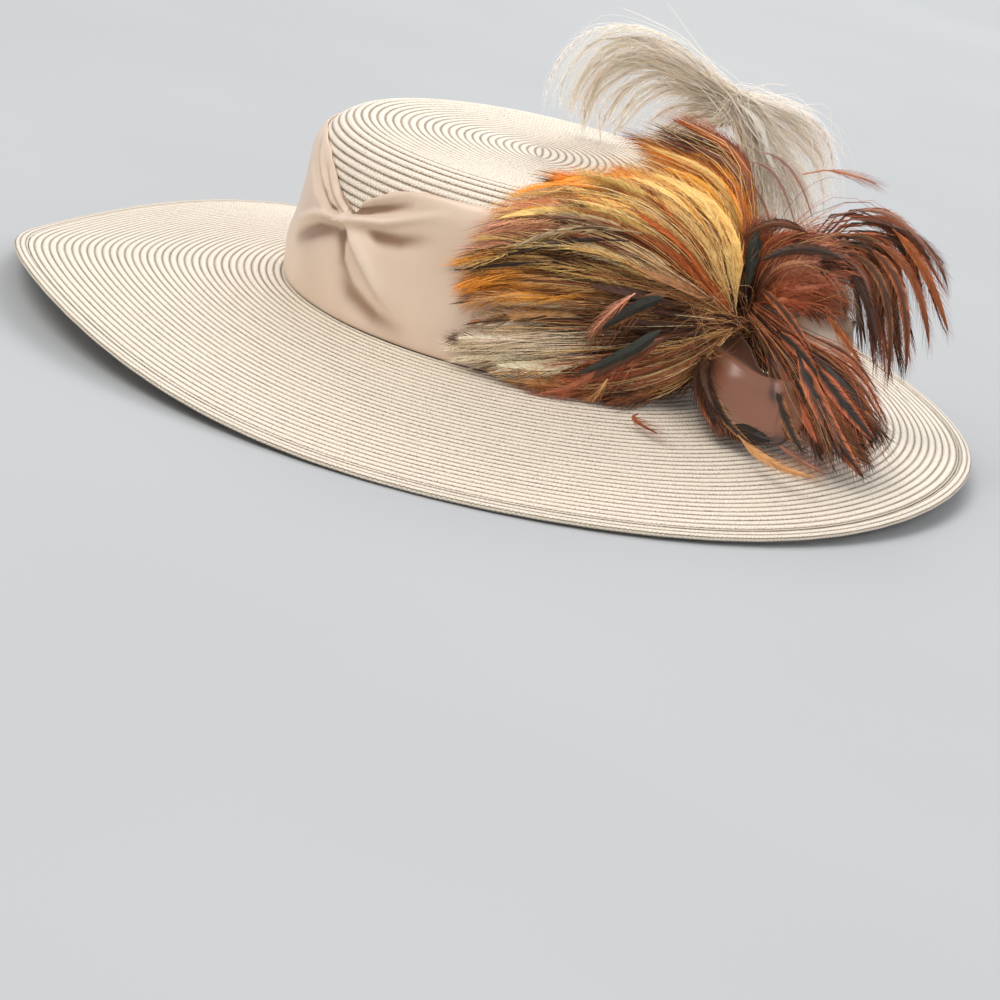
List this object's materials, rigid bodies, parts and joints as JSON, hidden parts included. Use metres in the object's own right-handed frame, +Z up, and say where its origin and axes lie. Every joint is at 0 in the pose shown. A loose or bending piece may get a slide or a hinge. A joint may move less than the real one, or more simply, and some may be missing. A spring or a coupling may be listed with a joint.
{
  "type": "wide-brimmed straw hat",
  "caption": "Wide-brimmed sewn straw dress hat with a low flat crown, a pinched satin band, satin bow loops and a spray of feathers at one side.",
  "frame": {"origin": "on the surface the brim rests on, under the middle of the brim", "axes": "+Z up through the crown, -Y to the front of the hat, +X to the wearer's left, where the trim is"},
  "size_m": [0.3906, 0.408, 0.1531],
  "materials": {
    "straw": "ivory sewn straw braid with a slight sheen",
    "champagne_satin": "champagne satin, soft gloss",
    "copper_satin": "copper brown satin, soft gloss",
    "bound_quills": "dark bound quill ends and fine curled strands",
    "golden_feather": "golden and tan barred feathers",
    "orange_feather": "orange and yellow hackle feathers",
    "cream_feather": "cream plume strands",
    "rust_feather": "rust red hackle feathers",
    "dark_feather": "rust feathers with near-black centres"
  },
  "bodies": {
    "root": {"crown": "straw", "brim": "straw", "brim_edge": "straw", "hatband": "champagne_satin", "trim_knot": "bound_quills", "bow_loop_front": "copper_satin", "bow_loop_side": "champagne_satin", "golden_spray": "golden_feather", "upper_spray": "orange_feather", "plume": "cream_feather", "rust_fan": "rust_feather", "hackle_spray": "dark_feather"}
  },
  "joints": []
}
